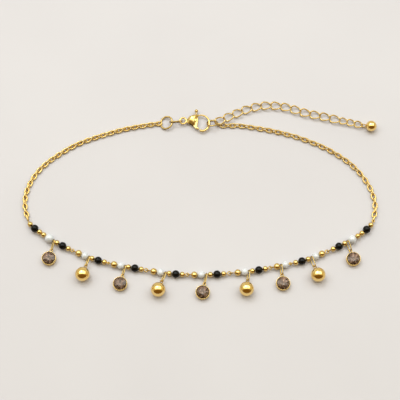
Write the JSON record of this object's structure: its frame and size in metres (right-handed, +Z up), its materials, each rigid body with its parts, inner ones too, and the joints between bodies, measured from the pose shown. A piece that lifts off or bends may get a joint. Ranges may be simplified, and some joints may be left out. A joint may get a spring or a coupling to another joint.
{
  "type": "charm necklace",
  "caption": "Gold-tone necklace of wired black, pearl and metal beads with hanging stone and ball charms, fine side chains, a lobster clasp and an extender.",
  "frame": {"origin": "on the surface that the necklace lies on, below the middle of its box", "axes": "+X across the necklace towards the side with the extender, +Y from the beaded front to the clasp, +Z up off the surface"},
  "size_m": [0.143, 0.0844, 0.0056],
  "materials": {
    "gold": "polished yellow gold plate over brass",
    "black": "polished opaque black stone beads",
    "pearl": "cool white pearl coat over glass beads",
    "crystal": "smoky brown faceted glass"
  },
  "bodies": {
    "necklace": {"bead_wire_1": "gold", "bead_wire_2": "gold", "bead_wire_3": "gold", "bead_wire_4": "gold", "bead_wire_5": "gold", "bead_wire_6": "gold", "bead_wire_7": "gold", "bead_wire_8": "gold", "bead_wire_9": "gold", "black_bead_1": "black", "black_bead_2": "black", "black_bead_3": "black", "black_bead_4": "black", "black_bead_5": "black", "black_bead_6": "black", "black_bead_7": "black", "black_bead_8": "black", "black_bead_9": "black", "black_bead_10": "black", "pearl_1": "pearl", "pearl_2": "pearl", "pearl_3": "pearl", "pearl_4": "pearl", "pearl_5": "pearl", "pearl_6": "pearl", "pearl_7": "pearl", "pearl_8": "pearl", "pearl_9": "pearl", "charm_ring_1": "gold", "charm_ring_2": "gold", "charm_ring_3": "gold", "charm_ring_4": "gold", "charm_ring_5": "gold", "charm_ring_6": "gold", "charm_ring_7": "gold", "charm_ring_8": "gold", "charm_ring_9": "gold", "bezel_1": "gold", "bezel_2": "gold", "bezel_3": "gold", "bezel_4": "gold", "bezel_5": "gold", "crystal_1": "crystal", "crystal_2": "crystal", "crystal_3": "crystal", "crystal_4": "crystal", "crystal_5": "crystal", "ball_charm_1": "gold", "ball_charm_2": "gold", "ball_charm_3": "gold", "ball_charm_4": "gold", "chain_left": "gold", "chain_right": "gold", "chain_ring": "gold", "clasp_ring": "gold", "hook_ring": "gold", "extender_chain": "gold", "end_ball": "gold", "clasp_body": "gold"},
    "lever": {"clasp_lever": "gold"}
  },
  "joints": [
    {"name": "lever_hinge", "type": "hinge", "parent": "necklace", "child": "lever", "pos_m": [-0.00272, 0.03336, 0.0014], "axis": [0, 0, 1], "range_deg": [0, 20], "stiffness_Nm_per_rad": 0.01}
  ]
}
